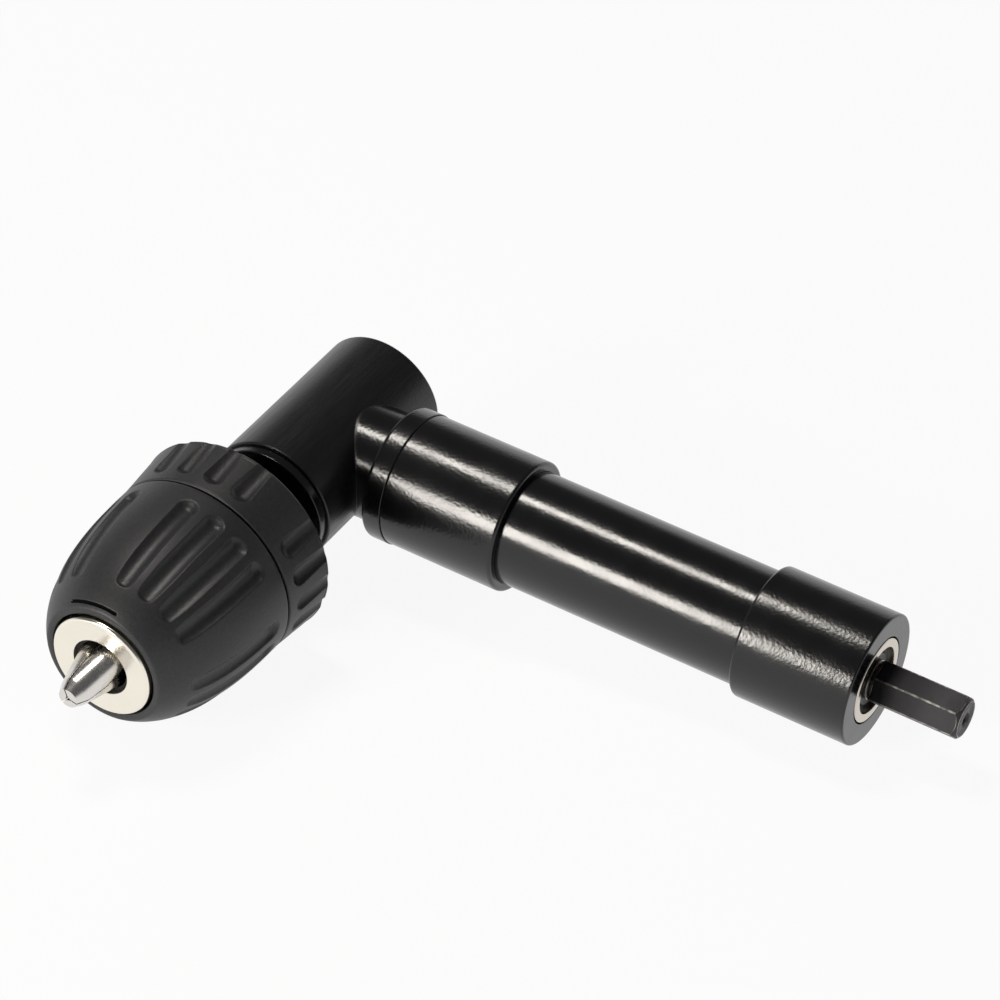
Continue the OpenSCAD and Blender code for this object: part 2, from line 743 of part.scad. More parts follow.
// Nickel ring over the nose of the chuck body
module chuck_nose_ring() {
    color(nickel) along_chuck(cap_start_s) difference() {
        round_tube(nose_ring_d / 2, nose_hole_d / 2, nose_ring_len, thin_chamfer, cap_edge_r);
        translate([0, 0, -overrun]) cylinder(r = cap_in_r, h = nose_ring_len - cap_wall + overrun);
    }
}

// Screw that keeps the chuck on the spindle when it is turned backwards
module chuck_screw() {
    color(steel) difference() {
        along_chuck(web_end_s - screw_len) union() {
            cylinder(r = screw_r, h = screw_len + overrun);
            translate([0, 0, screw_len + fit])
                round_tube(screw_head_r, 0, screw_head_len, thin_chamfer, thin_chamfer);
        }
        along_chuck(web_end_s + screw_head_len - screw_slot_depth)
            translate([-screw_head_r - overrun, -screw_slot_w / 2, 0])
                cube([2 * screw_head_r + 2 * overrun, screw_slot_w, screw_slot_depth + overrun]);
    }
}

// Groove for the thrust balls, cut in the face on either side of them
module thrust_groove() {
    along_chuck(thrust_ball_s) rotate_extrude() translate([thrust_pitch_r, 0])
        circle(thrust_ball_r + race_gap);
}

module thrust_race() {
    color(steel) difference() {
        along_chuck(body_end_s + fit) ring(nut_r, thrust_pitch_r - thrust_race_half_w, thrust_race_t - fit);
        thrust_groove();
    }
}

module thrust_balls() {
    color(brass_cage) along_chuck(thrust_ball_s)
        ball_set(thrust_pitch_r, thrust_ball_r, thrust_count, thrust_cage_half);
}

// Radius of the slanted jaws' outer side at a place on the chuck axis
function jaw_outer_r(s) = jaw_tip_r + (tip_s - s) * jaw_slope;

// Split nut whose tapered bore works on the outer side of the jaws
module jaw_nut() {
    color(steel) difference() {
        along_chuck(nut_s) turned([[jaw_outer_r(nut_s) + nut_clear, 0], [nut_r, 0], [nut_r, nut_len],
            [jaw_outer_r(nut_end_s) + nut_clear, nut_len]]);
        thrust_groove();
        along_chuck(nut_s - overrun) translate([-nut_r - overrun, -nut_split / 2, 0])
            cube([2 * nut_r + 2 * overrun, nut_split, nut_len + 2 * overrun]);
    }
}

module nut_band() {
    color(steel) along_chuck(band_s) ring(band_r, nut_r + fit, band_end_s - band_s);
}

module spindle_front_balls() {
    color(brass_cage) along_chuck(front_bearing_s) bearing_balls(front_bearing);
}

module spindle_rear_balls() {
    color(brass_cage) along_chuck(rear_bearing_end) bearing_balls(rear_bearing);
}

module input_inner_balls() {
    color(brass_cage) along_arm(inner_bearing_x) bearing_balls(inner_bearing);
}

module input_end_balls() {
    color(brass_cage) along_arm(end_bearing_x) bearing_balls(end_bearing);
}

// One jaw: a slanted round bar with a wedge front that closes on the chuck axis
module jaw(turn) {
    color(steel) intersection() {
        at_jaw(turn) translate([0, 0, (tip_s - jaw_apex_s) / cos(jaw_angle) - jaw_len])
            cylinder(r = jaw_r, h = jaw_len + overrun);
        along_chuck(0) rotate(turn) intersection() {
            translate([grip_min / 2, -nut_r, 0]) cube([nut_r + jaw_r, 2 * nut_r, tip_s]);
            translate([jaw_chamfer_r, 0, tip_s]) rotate([0, -jaw_chamfer_angle, 0])
                translate([-2 * jaw_len, -nut_r, -2 * jaw_len]) cube([2 * jaw_len, 2 * nut_r, 4 * jaw_len]);
            wedge_side(1);
            wedge_side(-1);
        }
    }
}

// Everything on the jaw's side of the plane that parts it from its neighbour
module wedge_side(side) {
    rotate(side * 60) translate([-2 * nut_r, side > 0 ? -4 * nut_r - jaw_gap / 2 : jaw_gap / 2, 0])
        cube([4 * nut_r, 4 * nut_r, tip_s]);
}

module jaw_1() { jaw(jaw_turns[0]); }
module jaw_2() { jaw(jaw_turns[1]); }
module jaw_3() { jaw(jaw_turns[2]); }

head_housing();
head_rear_cap();
spindle_cover_ring();
arm_lock_ring();
arm_front_sleeve();
arm_tube();
arm_end_housing();
bearing_spacer();
spindle_front_outer_ring();
spindle_rear_outer_ring();
input_inner_outer_ring();
input_end_outer_ring();
input_end_shield();
input_shaft();
input_pinion();
pinion_pin();
input_circlip();
input_inner_race();
input_end_race();
output_spindle();
output_gear();
gear_key();
spindle_circlip();
spindle_front_race();
spindle_rear_race();
chuck_body();
chuck_rear_sleeve();
chuck_nose_ring();
chuck_screw();
thrust_race();
chuck_front_sleeve();
jaw_nut();
nut_band();
spindle_front_balls();
spindle_rear_balls();
input_inner_balls();
input_end_balls();
thrust_balls();
jaw_1();
jaw_2();
jaw_3();
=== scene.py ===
import math

import bpy
from mathutils import Matrix, Vector


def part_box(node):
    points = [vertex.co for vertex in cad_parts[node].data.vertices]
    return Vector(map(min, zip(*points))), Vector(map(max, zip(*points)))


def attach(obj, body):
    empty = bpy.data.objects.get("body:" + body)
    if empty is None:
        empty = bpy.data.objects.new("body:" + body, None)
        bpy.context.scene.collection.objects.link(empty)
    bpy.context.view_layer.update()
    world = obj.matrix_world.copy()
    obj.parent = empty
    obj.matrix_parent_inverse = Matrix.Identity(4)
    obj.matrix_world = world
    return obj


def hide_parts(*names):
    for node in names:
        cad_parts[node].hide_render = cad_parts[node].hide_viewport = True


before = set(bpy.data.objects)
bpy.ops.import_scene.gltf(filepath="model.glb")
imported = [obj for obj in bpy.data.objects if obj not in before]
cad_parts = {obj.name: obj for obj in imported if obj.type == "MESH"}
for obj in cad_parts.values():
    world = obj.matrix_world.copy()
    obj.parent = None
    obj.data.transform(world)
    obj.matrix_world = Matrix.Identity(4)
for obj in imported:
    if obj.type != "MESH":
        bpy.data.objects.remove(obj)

bl_info = {
    "name": "Right angle drill attachment",
    "version": (1, 0, 0),
    "blender": (4, 5, 0),
    "location": "View3D > Sidebar > Drill attachment",
    "description": "Dresses the packed drill attachment with its paint, plastic and steel",
    "category": "Object",
}

MM = 0.001
# Rounding of a broken edge, and of one where a painted or turned piece meets the next
FINE, SEAM = 0.06 * MM, 0.12 * MM
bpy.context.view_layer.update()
CHUCK_X = (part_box("chuck_nose_ring")[0][0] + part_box("chuck_nose_ring")[1][0]) / 2
# Each shaft axis as a point on it and the directions across it
ARM_AXIS = (0, 0, 0), (0, 1, 1)
CHUCK_AXIS = (CHUCK_X, 0, 0), (1, 0, 1)
# Where most values of a noise lie
NOISE_SPAN = (0.3, 0.7)
UNIT = (0.0, 1.0)


def linear(hex_colour):
    """Linear colour with alpha from an sRGB hex value."""
    shares = [int(hex_colour[i:i + 2], 16) / 255 for i in (1, 3, 5)]
    return [c / 12.92 if c <= 0.04045 else ((c + 0.055) / 1.055) ** 2.4 for c in shares] + [1.0]


def length(name, millimetres, description):
    """A length property, given in millimetres and kept in metres."""
    return bpy.props.FloatProperty(
        name=name, description=description, default=millimetres * MM, min=0.0,
        unit="LENGTH", subtype="DISTANCE", precision=5)


def colour(name, hex_colour, description):
    """A colour property, given as an sRGB hex value."""
    return bpy.props.FloatVectorProperty(
        name=name, description=description, default=linear(hex_colour), size=4,
        min=0.0, max=1.0, subtype="COLOR")


class AttachmentSizes(bpy.types.PropertyGroup):
    stub_radius: length("Stub radius", 11.32, "Bore of the lock ring and the front sleeve")
    tube_radius: length("Slim tube radius", 11.62, "Bore of what sits over the slim tube")
    lock_ring_edge: length("Lock ring edge", 0.9, "Rounding of the lock ring's rear edge")
    shoulder_edge: length("Shoulder bead", 1.5, "Rounding of the front sleeve's shoulder")
    housing_edge: length("End housing edge", 0.9, "Rounding of the end housing's edge at the slim tube")
    paint_edge: length("Paint edge", 0.3, "Rounding of the other painted edges")
    seat_depth: length("Seat depth", 13.0, "How far the sleeve and the housing reach over their tubes")
    mouth_gap: length("Mouth gap", 0.3, "Gap round the end bearing at the housing's mouth")
    bearing_stand: length("Bearing stand", 0.95, "How far the end bearing's ring stands out of its seat")
    peel: length("Orange peel", 0.6, "Width of a wave in the sprayed paint")
    peel_depth: length("Orange peel depth", 0.034, "Height of a wave in the sprayed paint")
    streak: length("Streak", 0.5, "Width of a streak in the satin paint")
    sleeve_edge: length("Sleeve edge", 0.5, "Rounding of the front sleeve's rear edge")
    rim_edge: length("Rim edge", 0.9, "Rounding of the rear sleeve's rim")
    nose_bore: length("Nose bore", 11.3, "Radius of the front sleeve's bore round the nose ring")
    groove_round: length("Groove cutter", 2.6, "Radius of a groove's section")
    groove_depth: length("Groove depth", 1.1, "Depth of a groove at its rear end")
    groove_front_depth: length("Groove front depth", 0.6, "Depth of a long groove at its front end")
    rim_depth: length("Rim depth", 0.5, "Depth of a short groove at the rim")
    groove_soft: length("Groove edge", 0.07, "Softness of the moulded edge of a groove")
    arc_width: length("Arc line", 0.46, "Width of the engraved arc line on the nose")
    plastic_grain: length("Plastic grain", 0.4, "Grain width of the moulded texture")
    ring_edge: length("Nose ring edge", 0.8, "Rounding of the nose ring's outer edge")
    jaw_radius: length("Jaw radius", 3.2, "Radius of a jaw's round bar")
    jaw_tip: length("Jaw tip", 2.35, "Radius of the closed jaws at their tip, without the cone")
    jaw_nose: length("Jaw nose", 2.0, "Radius of the closed jaws' flat end")
    jaw_grip: length("Jaw grip", 0.4, "Distance of the grip flats from the chuck axis at rest")
    jaw_gap: length("Jaw gap", 0.24, "Gap between two jaws")
    shaft: length("Shaft", 3.5, "Radius of the input shaft in its bearings")
    collar: length("Collar", 4.0, "Radius of the collar behind the hex shank")
    collar_length: length("Collar length", 2.1, "Length of that collar")
    hex_flats: length("Hex flats", 8.0, "Width of the hex shank across its flats")
    hex_corner: length("Hex corner", 0.25, "Rounding of the hex shank's long edges")
    hex_end: length("Hex end", 3.6, "Radius of the shank's flat end, inside its coned edge")
    centre_hole: length("Centre hole", 1.6, "Radius of the hole in the shank's end")
    turning_pitch: length("Turning marks", 0.25, "Spacing of the turning marks on steel")


class AttachmentColours(bpy.types.PropertyGroup):
    enamel: colour("Enamel", "#111112", "Sprayed and stoved black enamel")
    plastic: colour("Sleeve plastic", "#28292b", "Moulded glass filled nylon")
    nickel: colour("Nickel", "#f3ede0", "Satin nickel plate on the nose ring")
    jaw_steel: colour("Jaw steel", "#dedbd7", "Ground tool steel")
    shank_steel: colour("Shank steel", "#3a393c", "Blackened, hardened steel")
    worn_steel: colour("Worn edge", "#b9b6b2", "Bare steel on worn edges")
    oxide: colour("Black oxide", "#262525", "Black oxide finish on the chuck body")
    bearing_steel: colour("Bearing steel", "#cbc3b9", "Ground bearing steel")
    seal: colour("Bearing shield", "#242322", "Dark steel bearing shield")
    gear_steel: colour("Gear steel", "#96938f", "Cut and hardened gear steel")
    floor: colour("Floor", "#ffffff", "Plain pale floor")


def settings(context):
    return context.scene.attachment_sizes, context.scene.attachment_colours


def add_node(tree, kind, values=None, links=None, **options):
    """Adds a shader node with its options, socket values and incoming links."""
    node = tree.nodes.new("ShaderNode" + kind)
    for key, value in options.items():
        setattr(node, key, value)
    for key, value in (values or {}).items():
        node.inputs[key].default_value = value
    for key, socket in (links or {}).items():
        tree.links.new(socket, node.inputs[key])
    return node


def mapped(tree, value, source, target, **options):
    """A value carried from the source's range to the target's."""
    ends = {"From Min": source[0], "From Max": source[1], "To Min": target[0], "To Max": target[1]}
    return add_node(tree, "MapRange", ends, {"Value": value}, **options).outputs[0]


def noise(tree, point, size, detail, roughness=0.5):
    """Noise with waves of a size."""
    values = {"Scale": 1 / size, "Detail": detail, "Roughness": roughness}
    return add_node(tree, "TexNoise", values, {"Vector": point}).outputs[0]


def vector(tree, operation, first, second=(0, 0, 0)):
    return add_node(tree, "VectorMath", {1: second}, {0: first}, operation=operation)


def new_material(name):
    material = bpy.data.materials.new(name)
    material.use_nodes = True
    material.node_tree.nodes.clear()
    return material, material.node_tree


def closed(material, shader):
    """The material, with its shader joined to its output."""
    add_node(material.node_tree, "OutputMaterial", links={"Surface": shader.outputs[0]})
    return material


def place(tree):
    """Where a point is, in metres, in the frame that all pieces share."""
    return add_node(tree, "TexCoord").outputs["Object"]


def from_axis(tree, point, centre, across):
    """Where a point is from a shaft's centre, and how far it is from the shaft's axis."""
    moved = vector(tree, "ADD", point, [-c for c in centre]).outputs[0]
    flat = vector(tree, "MULTIPLY", moved, across).outputs[0]
    return moved, vector(tree, "LENGTH", flat).outputs["Value"]


def round_marks(axis, pitch):
    """Marks that run round a shaft axis: they follow the distance from it plus the distance along it."""
    def marks(tree, point):
        moved, radius = from_axis(tree, point, *axis)
        along = vector(tree, "DOT_PRODUCT", moved, [1 - a for a in axis[1]]).outputs["Value"]
        return add_node(tree, "Math", links={0: radius, 1: along}, operation="ADD").outputs[0], 1 / pitch
    return marks


def clouds(size):
    """Marks of a size that run nowhere."""
    def marks(tree, point):
        return point, 1 / size
    return marks


def soft_edges(tree, radius):
    """Normal that rounds the edges of a carried-over solid."""
    return add_node(tree, "Bevel", {"Radius": radius}, samples=6).outputs[0]


# Stoved enamel, sprayed: nearly black and glossy, and its orange peel crinkles every highlight
def sprayed_enamel(name, sizes, colours, share, satin_tube=None):
    """With satin_tube, the radius of the head's tube, the tube is satin and the stub beyond it glossy."""
    material, tree = new_material(name)
    point = place(tree)
    # The paint lies unevenly in swells many waves wide, and is smoothest where it is thin
    swell_waves, calmest, smoothest, spread = 9, 0.8, 0.12 + 0.05 * share, 0.06
    solid_edge = 0.2 * MM
    peel = noise(tree, point, sizes.peel, 1.0)
    swell = noise(tree, point, swell_waves * sizes.peel, 2.0)
    strength = mapped(tree, swell, NOISE_SPAN, (calmest * share, share))
    roughness = mapped(tree, swell, NOISE_SPAN, (smoothest, smoothest + spread))
    if satin_tube:
        # The tube's paint was rubbed down lengthwise, so its streaks run along the chuck axis
        streak_pull, satin_span, blend = (1.0, 0.06, 1.0), (0.3, 0.4), (0.1 * MM, 0.5 * MM)
        drawn = vector(tree, "MULTIPLY", point, streak_pull).outputs[0]
        satin = mapped(tree, noise(tree, drawn, sizes.streak, 3.0), NOISE_SPAN, satin_span)
        out = from_axis(tree, point, *CHUCK_AXIS)[1]
        beyond = mapped(tree, out, [satin_tube + way for way in blend], UNIT)
        roughness = add_node(tree, "Mix", links={0: beyond, 2: satin, 3: roughness}).outputs[0]
    bump = add_node(tree, "Bump", {"Distance": sizes.peel_depth},
                    {"Strength": strength, "Height": peel, "Normal": soft_edges(tree, solid_edge)})
    shader = add_node(tree, "BsdfPrincipled", {"Base Color": colours.enamel, "IOR": 1.52},
                      {"Roughness": roughness, "Normal": bump.outputs[0]})
    return closed(material, shader)


# Glass filled nylon, moulded: charcoal and dull, with a spark-eroded grain, stronger in the grooves
def moulded_nylon(sizes, colours):
    material, tree = new_material("glass_filled_nylon_moulded")
    point = place(tree)
    mottle_size, mottle_span, grain_depth = 1.6 * sizes.plastic_grain, (0.8, 1.2), 0.045 * MM
    # Strength of the grain and roughness, each from the open surface to the bottom of a groove
    grain_span, roughness_span = (0.8, 1.0), (0.46, 0.4)
    grain = noise(tree, point, sizes.plastic_grain, 2.0, 0.7)
    shade = mapped(tree, noise(tree, point, mottle_size, 3.0), NOISE_SPAN, mottle_span)
    tint = add_node(tree, "VectorMath", {0: colours.plastic[:3]}, {"Scale": shade}, operation="SCALE")
    sunk = add_node(tree, "Attribute", attribute_name="sunk").outputs["Fac"]
    bump = add_node(tree, "Bump", {"Distance": grain_depth},
                    {"Strength": mapped(tree, sunk, UNIT, grain_span), "Height": grain})
    shader = add_node(tree, "BsdfPrincipled", {"IOR": 1.5},
                      {"Base Color": tint.outputs[0], "Normal": bump.outputs[0],
                       "Roughness": mapped(tree, sunk, UNIT, roughness_span)})
    return closed(material, shader)


# Glass filled nylon in the engraved line, with painted shade: the narrow cut lies in shade, so the nylon's
# colour is darkened to a small share, rough and with hardly any gloss
def engraved_line_painted_shade(colours):
    material, tree = new_material("glass_filled_nylon_painted_shade_in_engraved_line")
    # Share of the nylon's colour kept in the painted shade of the line
    painted_shade_share = 0.15
    dark = [share * painted_shade_share for share in colours.plastic[:3]] + [1.0]
    shader = add_node(tree, "BsdfPrincipled",
                      {"Base Color": dark, "Roughness": 0.9, "IOR": 1.5, "Specular IOR Level": 0.05})
    return closed(material, shader)


def steel(name, tint, roughness, marks, mark_depth, edge=0.0, worn=None, turned_about=None, bare=1.0):
    """Metal with marks, which give its pattern's input and scale, and a share of bare surface."""
    material, tree = new_material(name)
    point = place(tree)
    # Clouds of handling, which make the roughness stray this far and break up the wear
    cloud_size, stray, rubbed_off, wear_span = 1.5 * MM, 0.22, -0.25, (0.0, 0.3)
    where, scale = marks(tree, point)
    flat = where.type == "VALUE"
    lines = add_node(tree, "TexNoise", {"Scale": scale, "Detail": 2.0},
                     {"W" if flat else "Vector": where}, noise_dimensions="1D" if flat else "3D").outputs[0]
    cloud = noise(tree, point, cloud_size, 4.0)
    both = add_node(tree, "Math", links={0: lines, 1: cloud}, operation="ADD").outputs[0]
    rough = mapped(tree, both, [2 * end for end in NOISE_SPAN],
                   ((1 - stray) * roughness, (1 + stray) * roughness))
    bump = add_node(tree, "Bump", {"Strength": 1.0, "Distance": mark_depth}, {"Height": lines})
    if edge:
        tree.links.new(soft_edges(tree, edge), bump.inputs["Normal"])
    shader = add_node(tree, "BsdfPrincipled", {"Metallic": bare, "Base Color": tint},
                      {"Roughness": rough, "Normal": bump.outputs[0]})
    if turned_about:
        shader.inputs["Anisotropic"].default_value = 0.6
        round_it = add_node(tree, "Tangent", direction_type="RADIAL", axis=turned_about)
        tree.links.new(round_it.outputs[0], shader.inputs["Tangent"])
    if worn is not None:
        rubbed = add_node(tree, "Attribute", attribute_name="rubbed").outputs["Fac"]
        patchy = add_node(tree, "Math", {2: rubbed_off}, {0: rubbed, 1: cloud}, operation="MULTIPLY_ADD")
        share = mapped(tree, patchy.outputs[0], wear_span, UNIT)
        mix = add_node(tree, "Mix", {6: tint, 7: worn}, {0: share}, data_type="RGBA")
        tree.links.new(mix.outputs[2], shader.inputs["Base Color"])
    return closed(material, shader)


def wear(material, *nodes):
    """Gives carried-over solids a better material."""
    for node in nodes:
        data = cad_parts[node].data
        data.materials.clear()
        data.materials.append(material)


# Stoved enamel on cast and turned pieces: it lies thick, so it crinkles more
def thick_enamel(sizes, colours):
    name = "stoved_enamel_sprayed"
    return bpy.data.materials.get(name) or sprayed_enamel(name, sizes, colours, 1.0)


def rounded(outline):
    """Points and outward normals along a closed outline of (along, radius) and a rounding, if not FINE."""
    steps, largest_share = 5, 0.45
    points = []
    corners = [Vector(corner[:2]) for corner in outline]
    for i, corner in enumerate(corners):
        before, after = corners[i - 1] - corner, corners[(i + 1) % len(corners)] - corner
        rounding = outline[i][2] if len(outline[i]) > 2 else FINE
        reach = min(rounding, before.length * largest_share, after.length * largest_share)
        first, last = corner + before.normalized() * reach, corner + after.normalized() * reach
        for k in range(steps + 1):
            u = k / steps
            spot = first * (1 - u) ** 2 + corner * 2 * u * (1 - u) + last * u ** 2
            way = ((corner - first) * (1 - u) + (last - corner) * u).normalized()
            points.append((spot, Vector((way.y, -way.x))))
    return points


def on_arm(along, radius, angle):
    return Vector((along, radius * math.cos(angle), radius * math.sin(angle)))


def on_chuck(along, radius, angle):
    return Vector((CHUCK_X + radius * math.cos(angle), -along, radius * math.sin(angle)))


def new_piece(name, points, faces, material, body, nodes):
    """A smooth shaded mesh that rides on a body and stands for CAD nodes."""
    data = bpy.data.meshes.new(name)
    data.from_pydata(points, [], faces)
    data.validate()
    data.shade_smooth()
    data.materials.append(material)
    piece = bpy.data.objects.new(name, data)
    bpy.context.scene.collection.objects.link(piece)
    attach(piece, body)
    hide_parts(*nodes)
    return piece


def skin(rows, columns, capped=False):
    """Faces over columns of points with rows points in each, closed all round or capped at both ends."""
    faces = []
    for k in range(columns - capped):
        here, there = k * rows, (k + 1) % columns * rows
        for i in range(rows):
            after = (i + 1) % rows
            faces.append((here + i, here + after, there + after, there + i))
    if capped:
        faces.append(tuple(range(rows))[::-1])
        faces.append(tuple(range((columns - 1) * rows, columns * rows)))
    return faces


def lathe(name, outline, axis, material, body, node):
    """Turns a rounded outline about a shaft axis, with exact normals."""
    turns, profile = 192, rounded(outline)
    points, normals = [], []
    origin = axis(0, 0, 0)
    for k in range(turns):
        angle = 2 * math.pi * k / turns
        for spot, normal in profile:
            points.append(axis(spot.x, spot.y, angle))
            normals.append((axis(normal.x, normal.y, angle) - origin).normalized())
    piece = new_piece(name, points, skin(len(profile), turns), material, body, [node])
    piece.data.normals_split_custom_set_from_vertices(normals)


def arm_span(node):
    low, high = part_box(node)
    return low[0], high[0], (high[2] - low[2]) / 2


def chuck_span(node):
    low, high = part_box(node)
    return -high[1], -low[1], (high[2] - low[2]) / 2


def soft_step(value, soft):
    """The value above zero and nothing below, with a soft bend between."""
    if value <= -soft:
        return 0.0
    return value if value >= soft else (value + soft) ** 2 / (4 * soft)


def cut_depth(surface, centre, across, beyond, cutter):
    """How far a round bar of radius cutter sinks below a surface of that radius."""
    half = cutter ** 2 - across ** 2 - beyond ** 2
    return surface - (centre - math.sqrt(half)) if half > 0 else -cutter


def crossing(offset, x, y, long_half):
    """Reach to an ellipse's edge from offset on its long axis, in a direction scaled by its halves."""
    start = offset / long_half
    square, along, left = x * x + y * y, start * x, start * start - 1
    return (-along + math.sqrt(max(along * along - square * left, 0))) / square


def sleeve(name, rows, inside, angles, depth_at, material, engraved, body, node):
    """Moulded sleeve of (along, radius, cut) rows and an inside, sunk by depth_at in the rows to be cut."""
    # Depth at which a groove counts as full, and depth from which a point lies in the engraved line, whose
    # faces get the painted shade
    full, scored = 0.5 * MM, 0.1 * MM
    rows = [(along, radius, False) for along, radius in reversed(inside)] + rows[::-1]
    points, sunk, lines = [], [], []
    for angle in angles:
        for along, radius, cut in rows:
            groove, line = depth_at(along, radius, angle) if cut else (0.0, 0.0)
            points.append(on_chuck(along, radius - groove - line, angle))
            sunk.append(min(groove / full, 1.0))
            lines.append(line > scored)
    piece = new_piece(name, points, skin(len(rows), len(angles)), material, body, [node])
    piece.data.attributes.new("sunk", "FLOAT", "POINT").data.foreach_set("value", sunk)
    # The engraved line's faces get the second material, the nylon darkened as painted shade
    piece.data.materials.append(engraved)
    in_painted_shade = [int(sum(lines[corner] for corner in face.vertices) > 1) for face in piece.data.polygons]
    piece.data.polygons.foreach_set("material_index", in_painted_shade)


class ATTACHMENT_OT_stage(bpy.types.Operator):
    """Make the camera, the floor, the lamps and the pale surroundings"""
    bl_idname = "attachment.stage"
    bl_label = "Camera, floor and light"

    camera_place = (0.1973, -0.5158, 0.5252)
    camera_right = (0.84962, 0.52621, 0.03521)
    camera_up = (-0.36947, 0.54625, 0.75174)
    camera_back = (0.3763, -0.6517, 0.6585)
    camera_lens = 148.77
    floor_normal, floor_middle, floor_reach = (-0.067, 0.041, 1.0), (-0.08, -0.03, 0), 3.0
    # Share of the floor's own light where the camera sees it
    floor_glow = 0.92
    # Colours of the surroundings below and above, and the heights between which they blend
    pale, grey, blend = "#ffffff", "#5a5a5c", (0.06, 0.4)
    # Strength of the surroundings where the camera doesn't see them and where it does
    strengths = (0.6, 1.0)
    lamp_colour = "#fffaf2"
    # Each lamp as name, place that it lights, direction, distance, width, length and power
    lamps = (
        ("lamp_over_arm", (-0.071, 0.0, 0.0), (-0.3763, 0.0799, 0.9232), 0.8, 0.13, 0.22, 2.2),
        ("lamp_before_arm", (-0.071, 0.0, 0.0), (-0.3763, -0.8425, 0.3851), 0.9, 0.26, 0.24, 4.6),
    )

    def execute(self, context):
        scene = context.scene
        camera = bpy.data.objects.new("camera", bpy.data.cameras.new("camera"))
        scene.collection.objects.link(camera)
        camera.data.lens = self.camera_lens
        camera.data.sensor_width = 36
        camera.data.clip_start, camera.data.clip_end = 0.05, 20
        turn = Matrix((self.camera_right, self.camera_up, self.camera_back)).transposed()
        camera.matrix_world = Matrix.Translation(self.camera_place) @ turn.to_4x4()
        scene.camera = camera
        scene.view_settings.view_transform = "Standard"
        self.floor(context)
        for name, spot, way, distance, width, extent, power in self.lamps:
            data = bpy.data.lights.new(name, "AREA")
            data.shape, data.size, data.size_y, data.energy = "RECTANGLE", extent, width, power
            data.color = linear(self.lamp_colour)[:3]
            lamp = bpy.data.objects.new(name, data)
            scene.collection.objects.link(lamp)
            back = Vector(way).normalized()
            lamp.location = Vector(spot) + back * distance
            side = (Vector((1, 0, 0)) - back * back.x).normalized()
            lamp.rotation_mode = "QUATERNION"
            lamp.rotation_quaternion = Matrix((side, back.cross(side), back)).transposed().to_quaternion()
        self.surroundings(scene)
        return {"FINISHED"}

    def floor(self, context):
        normal = Vector(self.floor_normal).normalized()
        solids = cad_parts.values()
        height = min(normal.dot(vertex.co) for solid in solids for vertex in solid.data.vertices)
        side = (Vector((1, 0, 0)) - normal * normal.x).normalized()
        other = normal.cross(side) * self.floor_reach
        side *= self.floor_reach
        middle = Vector(self.floor_middle)
        middle += normal * (height - normal.dot(middle))
        corners = [middle + side * a + other * b for a, b in ((-1, -1), (1, -1), (1, 1), (-1, 1))]
        data = bpy.data.meshes.new("floor")
        data.from_pydata(corners, [], [(0, 1, 2, 3)])
        material, tree = new_material("pale_paper_floor")
        matt = add_node(tree, "BsdfDiffuse", {"Color": context.scene.attachment_colours.floor})
        glow = add_node(tree, "Emission", {"Color": linear(self.pale), "Strength": 1.0})
        share = mapped(tree, seen_directly(tree), UNIT, (0.0, self.floor_glow))
        mixed = add_node(tree, "MixShader", links={0: share, 1: matt.outputs[0], 2: glow.outputs[0]})
        data.materials.append(closed(material, mixed))
        plane = bpy.data.objects.new("floor", data)
        context.scene.collection.objects.link(plane)

    def surroundings(self, scene):
        world = bpy.data.worlds.new("pale_studio")
        world.use_nodes = True
        scene.world = world
        tree = world.node_tree
        tree.nodes.clear()
        way = add_node(tree, "TexCoord").outputs["Generated"]
        up = add_node(tree, "SeparateXYZ", links={0: way}).outputs["Z"]
        height = mapped(tree, up, self.blend, UNIT, interpolation_type="SMOOTHSTEP")
        shade = add_node(tree, "Mix", {6: linear(self.pale), 7: linear(self.grey)}, {0: height},
                         data_type="RGBA")
        strength = mapped(tree, seen_directly(tree), UNIT, self.strengths)
        back = add_node(tree, "Background", links={"Color": shade.outputs[2], "Strength": strength})
        add_node(tree, "OutputWorld", links={"Surface": back.outputs[0]})


def seen_directly(tree):
    """1 for what the camera sees, straight or in a gloss or through glass."""
    path = add_node(tree, "LightPath").outputs
    seen = path["Is Camera Ray"]
    for kind in ("Is Glossy Ray", "Is Transmission Ray"):
        seen = add_node(tree, "Math", links={0: seen, 1: path[kind]}, operation="MAXIMUM").outputs[0]
    return seen


class ATTACHMENT_OT_gear_head(bpy.types.Operator):
    """Finish the painted gear head and its rear cap, and turn its cover ring"""
    bl_idname = "attachment.gear_head"
    bl_label = "Gear head"

    # Radius of the cover ring's bore, and how far in from its rim its threaded rear lies
    bore, thread_outside, thread_inside = 6.5 * MM, 1.6 * MM, 3.6 * MM

    def execute(self, context):
        sizes, colours = settings(context)
        # Stoved enamel, rubbed down along the tube: satin and streaked, and glossy on the stub
        enamel = sprayed_enamel("stoved_enamel_rubbed_down_on_tube", sizes, colours, 0.8,
                                chuck_span("head_housing")[2])
        wear(enamel, "head_housing", "head_rear_cap")
        thread_rear, front, radius = chuck_span("spindle_cover_ring")
        rear = chuck_span("head_housing")[1]
        inside, outside = radius - self.thread_inside, radius - self.thread_outside
        thick = thick_enamel(sizes, colours)
        wear(thick, "spindle_cover_ring")
        lathe("cover_ring", [(thread_rear, inside), (rear, inside),
                             (rear, self.bore), (front, self.bore, sizes.paint_edge),
                             (front, radius, sizes.paint_edge), (rear, radius, SEAM),
                             (rear, outside), (thread_rear, outside)],
              on_chuck, thick, "housing", "spindle_cover_ring")
        return {"FINISHED"}


